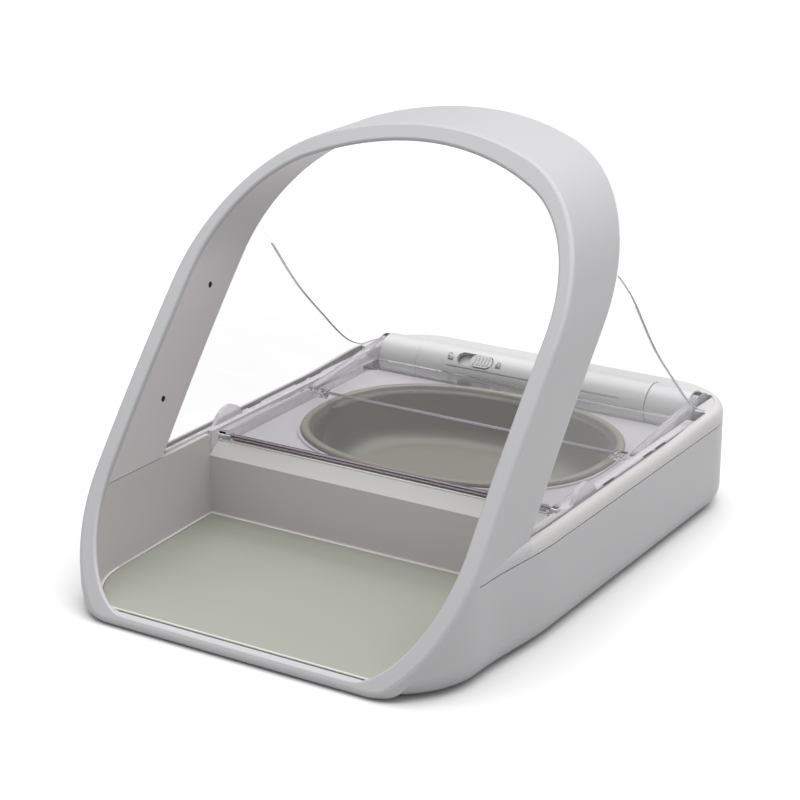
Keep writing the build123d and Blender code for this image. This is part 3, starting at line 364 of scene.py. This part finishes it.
def soften(path, reach, steps=7):
    """Round the inner corners p of a path: (1-t)^2 a + 2t(1-t) p + t^2 b, a and b reach from p."""
    path = np.array(path, float)
    corner = path[1:-1]
    reach = np.broadcast_to(reach, len(corner))[:, None]
    before = corner + unit(path[:-2] - corner) * reach
    after = corner + unit(path[2:] - corner) * reach
    t = np.linspace(0.0, 1.0, steps)[None, :, None]
    curve = (1 - t) ** 2 * before[:, None] + 2 * t * (1 - t) * corner[:, None] + t ** 2 * after[:, None]
    return np.vstack([path[:1], curve.reshape(-1, path.shape[1]), path[-1:]])


def solid_of(rings):
    """Vertices and faces of a closed skin: rings of equal length, and a fan of triangles at each end."""
    rows, cols = rings.shape[:2]
    verts = np.vstack([rings.reshape(-1, 3), rings[0].mean(0), rings[-1].mean(0)])
    row, col = np.meshgrid(np.arange(rows - 1), np.arange(cols), indexing="ij")
    near, far = row * cols + col, row * cols + (col + 1) % cols
    quads = np.stack([near, far, far + cols, near + cols], -1).reshape(-1, 4)
    turn, last, first = np.arange(cols), (rows - 1) * cols, rows * cols
    low = np.stack([(turn + 1) % cols, turn, np.full(cols, first)], -1)
    high = np.stack([last + turn, last + (turn + 1) % cols, np.full(cols, first + 1)], -1)
    return verts, quads, np.vstack([low, high])


def signed_volume(verts, quads, triangles):
    """Six times the volume inside: the sum of a . (b x c) over all triangles, positive if faces look out."""
    flat = np.vstack([quads[:, [0, 1, 2]], quads[:, [0, 2, 3]], triangles])
    a, b, c = verts[flat[:, 0]], verts[flat[:, 1]], verts[flat[:, 2]]
    return float(np.sum(a * np.cross(b, c)))


def skin(name, ring_sets, finish, body="root"):
    """One smooth object from closed skins in millimetres, with every face turned outwards."""
    verts, faces, start = [], [], 0
    for rings in ring_sets:
        points, quads, triangles = solid_of(np.asarray(rings, float))
        if signed_volume(points, quads, triangles) < 0:
            quads, triangles = quads[:, ::-1], triangles[:, ::-1]
        verts.append(points * MM)
        faces += (quads + start).tolist() + (triangles + start).tolist()
        start += len(points)
    mesh = bpy.data.meshes.new(name)
    mesh.from_pydata(np.vstack(verts).tolist(), [], faces)
    mesh.polygons.foreach_set("use_smooth", np.ones(len(faces), bool))
    if finish:
        mesh.materials.append(finish)
    piece = bpy.data.objects.new(name, mesh)
    bpy.context.scene.collection.objects.link(piece)
    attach(piece, body)
    print(name, "faces:", len(faces))
    return piece


def bead(path, radius, aside, around=12):
    """A round bead along a path: rings p + r (n cos u + m sin u), with n and m square to the path."""
    path = np.asarray(path, float)
    along = unit(np.gradient(path, axis=0))
    n = unit(np.cross(along, np.broadcast_to(aside, path.shape)))
    m = np.cross(along, n)
    turn = np.linspace(0, 2 * np.pi, around, endpoint=False)[None, :, None]
    return path[:, None] + radius * (np.cos(turn) * n[:, None] + np.sin(turn) * m[:, None])


# %% [markdown]
# The bowl is one thick moulding: a rim rolled over at the outside, a flat of a few millimetres,
# a step down inside it, then a steep wall with a wide radius into a flat floor. Its outline is
# a squarish oval. One profile, carried round that oval, gives the whole piece.

# %% Bowl
OVAL_POWER = 2.35        # 2 is an ellipse, more is squarer
BOWL_AROUND = 240        # points round the oval
low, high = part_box("bowl")
BOWL_MID = np.array([(low[0] + high[0]) / 2, (low[1] + high[1]) / 2]) / MM
BOWL_HALF = np.array([high[0] - low[0], high[1] - low[1]]) / 2 / MM
BOWL_FLOOR, BOWL_RIM = low[2] / MM, high[2] / MM


def oval_rings(profile):
    """Rings of the oval |x/a|^n + |y/b|^n = 1, with a and b drawn in by each profile point's inset."""
    turn = np.linspace(0, 2 * np.pi, BOWL_AROUND, endpoint=False)
    x = np.sign(np.cos(turn)) * np.abs(np.cos(turn)) ** (2 / OVAL_POWER)
    y = np.sign(np.sin(turn)) * np.abs(np.sin(turn)) ** (2 / OVAL_POWER)
    inset, height = profile[:, :1], profile[:, 1:]
    heights = np.broadcast_to(height, (len(profile), BOWL_AROUND))
    across = BOWL_MID[0] + (BOWL_HALF[0] - inset) * x
    along = BOWL_MID[1] + (BOWL_HALF[1] - inset) * y
    return np.stack([across, along, heights], -1)


# each point is (inset from the outline, height); the second list is how far each corner is softened
middle = BOWL_HALF.min() * 0.92
bowl_profile = soften([
    (middle, BOWL_FLOOR),            # under the middle of the foot
    (17.0, BOWL_FLOOR),              # edge of the foot
    (15.5, BOWL_FLOOR + 1.5),        # its bevel
    (7.2, BOWL_RIM - 3.4),           # top of the outer wall
    (0.0, BOWL_RIM - 3.2),           # under the rim
    (0.0, BOWL_RIM),                 # outer edge of the rim
    (3.6, BOWL_RIM),                 # inner edge of the flat
    (5.2, BOWL_RIM - 2.4),           # down the step
    (7.6, BOWL_RIM - 2.9),           # foot of the step
    (16.8, BOWL_FLOOR + 1.8),        # wide radius into the floor
    (middle, BOWL_FLOOR + 1.8),      # middle of the floor
], [1.0, 1.2, 0.4, 1.4, 1.7, 1.0, 0.9, 1.1, 8.5])
print("bowl profile points:", len(bowl_profile))

# %% [markdown]
# The bowl's plastic is a warm taupe. Shade is painted into its colour: the steep wall, the outer
# side under the rim and the step are darker, where the lid, the tube and the hoop shade them, and
# the rim's flat and the floor keep more of the taupe. The painted shade is stored on the vertices,
# one number for each ring of the profile, and the material only reads it.

# %% Bowl finish
# the full taupe, and the dark taupe that paints shade into the bowl
TAUPE_IN_PAINTED_SHADE, TAUPE_LIGHT = "#2C281F", "#9E9A8E"
# painted shade for each point of the profile, from the foot round the rim to the floor: 0 is darkest
PAINTED_SHADE_STOPS = (0.30, 0.30, 0.25, 0.04, 0.04, 0.74, 0.72, 0.26, 0.02, 0.42, 0.70)
bowl = skin("bowl_skin", [oval_rings(bowl_profile)], None)
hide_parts("bowl")


def ring_painted_shade(rows, around, stops):
    """One painted-shade value for each ring, evenly blended between the profile's corners, then both end
    points.
    """
    painted_shade = np.interp(np.linspace(0, len(stops) - 1, rows), np.arange(len(stops)), stops)
    return np.concatenate([np.repeat(painted_shade, around), painted_shade[:1], painted_shade[-1:]])


# painted shade on the vertices: the wall, the outer side and the step are made darker
painted_shade_levels = ring_painted_shade(len(bowl_profile), BOWL_AROUND, PAINTED_SHADE_STOPS)
bowl.data.attributes.new("painted_shade", "FLOAT", "POINT").data.foreach_set("value", painted_shade_levels)
# polypropylene: satin, so the rim carries a soft light line; the wall's depth is painted shade
pp_bowl, bowl_tree, bowl_shader = material("satin_pp_taupe", TAUPE_LIGHT, 0.36)
grain(bowl_tree, bowl_shader, GRAIN_DEPTH_MM)
# the base colour runs from the painted-shade taupe to the full taupe
painted_shade = add(bowl_tree, "ShaderNodeAttribute", attribute_name="painted_shade").outputs["Fac"]
bowl_colour = blend_colours(bowl_tree, painted_shade, linear(TAUPE_IN_PAINTED_SHADE), linear(TAUPE_LIGHT))
bowl_tree.links.new(bowl_colour, bowl_shader.inputs["Base Color"])
bowl.data.materials.append(pp_bowl)
print("bowl tones:", round(float(painted_shade_levels.min()), 2), "to", round(float(painted_shade_levels.max()), 2))

# %% [markdown]
# The edge of the clear cover is a thickened bead. Along it light is bent twice, so the eye gets
# a pair of fine bright lines and knows where the clear sheet ends. These lines are painted
# highlights: two slim pale beads are swept along each side wall's rear edge, and the curve is read
# from the solid model's own cover: all points of the wall that lie above its foot and behind its
# leaning front.

# %% Bead on the clear cover's edge
COVER_SHEET = 2.0
BEAD_R = 0.32
BEAD_IN = BEAD_R * 0.6   # how far the bead's middle lies inside the sheet's face
BEAD_STEPS = 90
WALL_SLACK = 0.05        # points this close to the widest are on the side wall
FOOT_CLEAR = 2.0         # points this close to the foot are not on the edge
LEAN_FOOT_Y, LEAN_SLOPE, LEAN_BEND = -158.5, 0.663, 0.00092
FRONT_BAND = 47.5        # the wall starts this far behind the hoop's front


def node_points(node):
    """The vertices of a solid model's node, in millimetres."""
    mesh = NODES[node].data
    points = np.zeros(len(mesh.vertices) * 3)
    mesh.vertices.foreach_get("co", points)
    return points.reshape(-1, 3) / MM


def rear_edge(wall):
    """Points above the foot and behind the front y = y0 + a z + b z^2, front to back."""
    lean = LEAN_FOOT_Y + LEAN_SLOPE * wall[:, 2] + LEAN_BEND * wall[:, 2] ** 2
    above = wall[:, 2] > wall[:, 2].min() + FOOT_CLEAR
    found = np.unique(wall[above & (wall[:, 1] > lean + FRONT_BAND)].round(3), axis=0)
    return found[np.argsort(found[:, 1])]


cover_points = node_points("rear_cover")
outer_x = cover_points[:, 0].max()
edge = rear_edge(cover_points[cover_points[:, 0] > outer_x - WALL_SLACK])
bead_y = np.linspace(edge[0, 1], edge[-1, 1], BEAD_STEPS)
bead_z = np.interp(bead_y, edge[:, 1], edge[:, 2])
bead_sets = []
for depth in (BEAD_IN, COVER_SHEET - BEAD_IN):
    for side in (-1, 1):
        bead_x = np.full(BEAD_STEPS, side * (outer_x - depth))
        bead_sets.append(bead(np.stack([bead_x, bead_y, bead_z], 1), BEAD_R, (1, 0, 0), around=8))
# painted highlight: pale, and only a little see-through, so the edge shows as bright lines
cover_edge_highlight = moulded("clear_cover_edge_painted_highlight", "#E4E2E6", "#E0DEE2", 0.4,
                    **{"Transmission Weight": 0.2, "IOR": 1.2})
# the pale beads are painted highlights along the cover's edge
skin("cover_edge_highlight_beads", bead_sets, cover_edge_highlight)
print("cover edge points from the solid:", len(edge))

# %% [markdown]
# A moulded sheet is polished on its faces. Its narrow edges collect light and show as pale lines
# across the middle hinge and along the lid's front. These lines are painted highlights: each is a
# thin pale bead laid into the sheet's edge, moving with its own panel.

# %% Painted highlights on the lid's edges
EDGE_R = 0.38
EDGE_IN = EDGE_R * 0.7   # how far the bead's middle lies inside the sheet's face
SHEET_LOW, SHEET_T = 47.6, 2.0
HINGE_GAP = 0.5          # from the middle hinge to each panel's edge
KNUCKLES_IN = 8.6        # the hinge edge stops short of the knuckles
SIDE_CLEAR = 0.2


def span(node, axis):
    """The lowest and highest place of a node along one axis, in millimetres."""
    low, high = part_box(node)
    return low[axis] / MM, high[axis] / MM


LID_HALF = span("collar_right", 0)[1]
FRONT_EDGE_Y = span("lid_front_panel", 1)[0]
HINGE_Y = sum(span("hinge_pins", 1)) / 2
# painted highlight on the lid's edges; it lets a little more light through than the cover's
lid_edge_highlight = moulded("clear_lid_edge_painted_highlight", "#D9D7DC", "#D5D3D8", 0.35,
                     **{"Transmission Weight": 0.5, "IOR": 1.3})


def panel_edge(name, body, reach, y):
    """Two straight beads across the lid at this y, along the sheet's lower and upper corner."""
    sets = []
    for z in (SHEET_LOW + EDGE_IN, SHEET_LOW + SHEET_T - EDGE_IN):
        ends = np.array([(-reach, y, z), (0.0, y, z), (reach, y, z)])
        sets.append(bead(ends, EDGE_R, (0, 0, 1), around=8))
    return skin(name, sets, lid_edge_highlight, body)


# pale beads: painted highlights along the front edge and both edges of the middle hinge
panel_edge("front_panel_edges", "front_lid", LID_HALF - SIDE_CLEAR, FRONT_EDGE_Y + EDGE_R / 2)
hinge_reach, hinge_off = LID_HALF - KNUCKLES_IN, HINGE_GAP + EDGE_R / 2
panel_edge("front_panel_hinge_edge", "front_lid", hinge_reach, HINGE_Y - hinge_off)
panel_edge("rear_panel_hinge_edge", "rear_lid", hinge_reach, HINGE_Y + hinge_off)

# %% [markdown]
# Beside the lid two clear arms rise from the middle hinge to the hinge tube and turn the lid.
# They are thick, so their moulded sides look milky next to the thin polished sheet. Each is a
# flat outline, tall at the tube, with its corners softened, given the arm's thickness.

# %% Side arms of the lid
ARM_T = 3.8
ARM_LOW_Z, ARM_HINGE_Z, ARM_TUBE_Z = 47.25, 50.45, 58.4
ARM_Y0 = HINGE_Y + 0.8                         # just behind the middle hinge
ARM_Y1 = sum(span("pivot_pins", 1)) / 2 - 2.0  # just in front of the tube's axis
ARM_START = 20.0                               # the outline starts here, on its straight foot
SKIN_OVER = 0.05                               # the skin stands this far over the solid arm
BEVEL = 0.5


def side_plate(outline, x0, x1):
    """A flat (y, z) outline from x0 to x1: rings drawn in by a share of the bevel at both faces."""
    outline = np.asarray(outline, float)
    drawn = outline + unit(outline.mean(0) - outline) * BEVEL * 0.7
    step = math.copysign(BEVEL, x1 - x0)
    layers = ((drawn, x0), (outline, x0 + step), (outline, x1 - step), (drawn, x1))
    return np.stack([np.column_stack([np.full(len(ring), x), ring]) for ring, x in layers])


arm_outline = soften([
    (ARM_Y0 + ARM_START, ARM_LOW_Z), (ARM_Y1, ARM_LOW_Z), (ARM_Y1, ARM_TUBE_Z),
    (ARM_Y0, ARM_HINGE_Z), (ARM_Y0, ARM_LOW_Z), (ARM_Y0 + ARM_START - 1.0, ARM_LOW_Z),
], [0.6, 0.8, 0.8, 0.6])
arm_sets = []
for side in (-1, 1):
    inner_x, outer_arm_x = side * (LID_HALF - SKIN_OVER), side * (LID_HALF + ARM_T + SKIN_OVER)
    arm_sets.append(side_plate(arm_outline, inner_x, outer_arm_x))
skin("lid_arms", arm_sets, clear_arm, "rear_lid")

# %% [markdown]
# The tube carries two small printed marks beside the slider, an open and a closed padlock: a
# rounded plate for the body and a bent bar for the bow. They are drawn flat, in millimetres on
# a sheet, and then rolled round the tube as a label is.

# %% Padlock marks
TUBE_MID_Y, TUBE_ROUND = sum(span("tube_cover", 1)) / 2, np.diff(span("tube_cover", 1))[0] / 2
TUBE_AXIS_Z = span("tube_cover", 2)[0]
MARK_TILT = math.radians(42.0)                # the marks lie this far forward of the tube's top
MARK_X = {"open": -47.6, "closed": -18.4}
BODY_W, BODY_H, BODY_R, BODY_DROP = 3.3, 2.6, 0.4, 1.1
BOW_W, BOW_H, BOW_R, BOW_STEPS = 0.95, 1.05, 0.3, 15
BOW_SUNK, LEG_FOOT = -0.1, -0.4
PLATE_SUNK, PRINT_T = -0.3, 0.05


def on_tube(points, x):
    """Flat points (u, v, h) rolled on the tube: turn = tilt - v / R, then radius R + h."""
    points = np.asarray(points, float)
    turn = MARK_TILT - points[..., 1] / TUBE_ROUND
    radius = TUBE_ROUND + points[..., 2]
    y, z = TUBE_MID_Y - radius * np.sin(turn), TUBE_AXIS_Z + radius * np.cos(turn)
    return np.stack([x + points[..., 0], y, z], -1)


def rounded_plate(width, height, radius, thick, steps=6):
    """A flat plate as two rings: corners (w/2 - r + r cos t, h/2 - r + r sin t) in all four quarters."""
    t = np.linspace(0, np.pi / 2, steps) + np.arange(4)[:, None] * np.pi / 2
    sx = np.array([1, -1, -1, 1])[:, None] * (width / 2 - radius)
    sy = np.array([1, 1, -1, -1])[:, None] * (height / 2 - radius)
    outline = np.stack([sx + radius * np.cos(t), sy + radius * np.sin(t)], -1).reshape(-1, 2)
    return np.stack([np.column_stack([outline, np.full(len(outline), h)]) for h in (PLATE_SUNK, thick)])


def padlock(x, lift, swing, right_foot):
    """Body plate and bow: the bow is a half circle of bar, lifted, and swung to one side when open."""
    plate = rounded_plate(BODY_W, BODY_H, BODY_R, PRINT_T) - np.array([0.0, BODY_DROP, 0.0])
    t = np.linspace(0, np.pi, BOW_STEPS)
    bow = np.stack([swing + BOW_W * np.cos(t), lift + BOW_H * np.sin(t), np.full(BOW_STEPS, BOW_SUNK)], -1)
    right, left = [swing + BOW_W, right_foot, BOW_SUNK], [swing - BOW_W, LEG_FOOT, BOW_SUNK]
    bar = bead(np.vstack([[right], bow, [left]]), BOW_R, (0, 0, 1), around=8)
    return [on_tube(plate, x), on_tube(bar, x)]


# grey pad-printing ink: flat, a shade darker than the tube
mark_ink = moulded("pictogram_grey", "#98989C", "#939397", 0.5)
open_mark = padlock(MARK_X["open"], lift=1.0, swing=-0.9, right_foot=0.8)
closed_mark = padlock(MARK_X["closed"], lift=0.2, swing=0.0, right_foot=LEG_FOOT)
skin("padlock_marks", open_mark + closed_mark, mark_ink)

# %% [markdown]
# The clear cover clips into the rim. The clips leave three narrow dark slots on each side. At
# this size a slot is only its own shadow, so each is a thin dark plate with round ends.

# %% Clip slots
SLOT_SPANS = ((2.0, 13.0), (45.0, 55.0), (58.0, 69.0))
SLOT_W, SLOT_R, SLOT_T = 0.9, 0.4, 0.12
CLIP_X, CLIP_Z = span("side_rail_right", 0)[1] - 0.4, 51.5
# deep shadow: matt, so that it never catches the lamp
slot_shade = moulded("slot_shadow_grey", "#55535A", "#504E55", 0.8)
clip_rings = []
for near, far in SLOT_SPANS:
    for side in (-1, 1):
        plate = rounded_plate(SLOT_W, far - near, SLOT_R, SLOT_T)
        clip_rings.append(plate + np.array([side * CLIP_X, (near + far) / 2, CLIP_Z]))
skin("clip_slots", clip_rings, slot_shade)

# %% [markdown]
# In front of the lid a ledge slopes down to the well. Its upper corner shows one bright line just
# under the lid's dark seal: partly painted highlight, a near-white bead, and partly the lamp's
# reflection in that bead's glossy surface.

# %% Ledge line
LEDGE_Y, LEDGE_Z = -30.6, 46.2
LEDGE_R, LEDGE_ENDS_IN = 0.42, 3.0
# near-white painted highlight, and glossy, almost a mirror, so it also shows the lamp as a line
ledge_highlight = moulded("ledge_corner_painted_highlight", "#F4F1EC", "#F1EEE9", 0.15, FINE_DEPTH_MM)
ledge_x = LID_HALF - LEDGE_ENDS_IN
ledge_line = np.array([(x, LEDGE_Y, LEDGE_Z) for x in (-ledge_x, 0.0, ledge_x)])
skin("ledge_corner", [bead(ledge_line, LEDGE_R, (0, 0, 1), around=10)], ledge_highlight)

# %% [markdown]
# The well has a raised border round the mat. The fine pale line that runs round the mat is a
# painted highlight: a slim, light and smooth bead. The mat is a thin sloping sheet: a line fitted
# through its points at their y and z parts its top from its underside, and the top's points,
# sorted round their middle, are the path of the bead.

# %% Border line of the mat
BORDER_R = 0.6
BORDER_OUT = 1.05        # the bead lies this far outside the mat's edge
SAME_POINT = 0.05        # points closer than this count as one
mat_points = node_points("mat")
slope, level = np.polyfit(mat_points[:, 1], mat_points[:, 2], 1)
mat_top = mat_points[mat_points[:, 2] > slope * mat_points[:, 1] + level]
mat_middle = (mat_top.min(0) + mat_top.max(0)) / 2
spoke = mat_top - mat_middle
mat_loop = mat_top[np.argsort(np.arctan2(spoke[:, 1], spoke[:, 0]))]
mat_loop = mat_loop[np.linalg.norm(mat_loop - np.roll(mat_loop, 1, axis=0), axis=1) > SAME_POINT]
mat_loop = np.vstack([mat_loop, mat_loop[:1]])
border_path = mat_loop + unit((mat_loop - mat_middle) * (1.0, 1.0, 0.0)) * BORDER_OUT
# painted highlight: a soft light line of smooth ABS, less bright than the ledge's
border_highlight = moulded("well_border_painted_highlight", "#DAD7D3", "#D7D4D0", 0.3, FINE_DEPTH_MM)
skin("mat_border_line", [bead(border_path, BORDER_R, (0, 0, 1), around=10)], border_highlight)
print("points round the mat:", len(mat_loop))

# %% [markdown]
# Last comes the size: the box of what is shown now, which should agree with the box of the solid
# model.

# %% Sizes and the last line
print("box of what is shown, m:", corners())
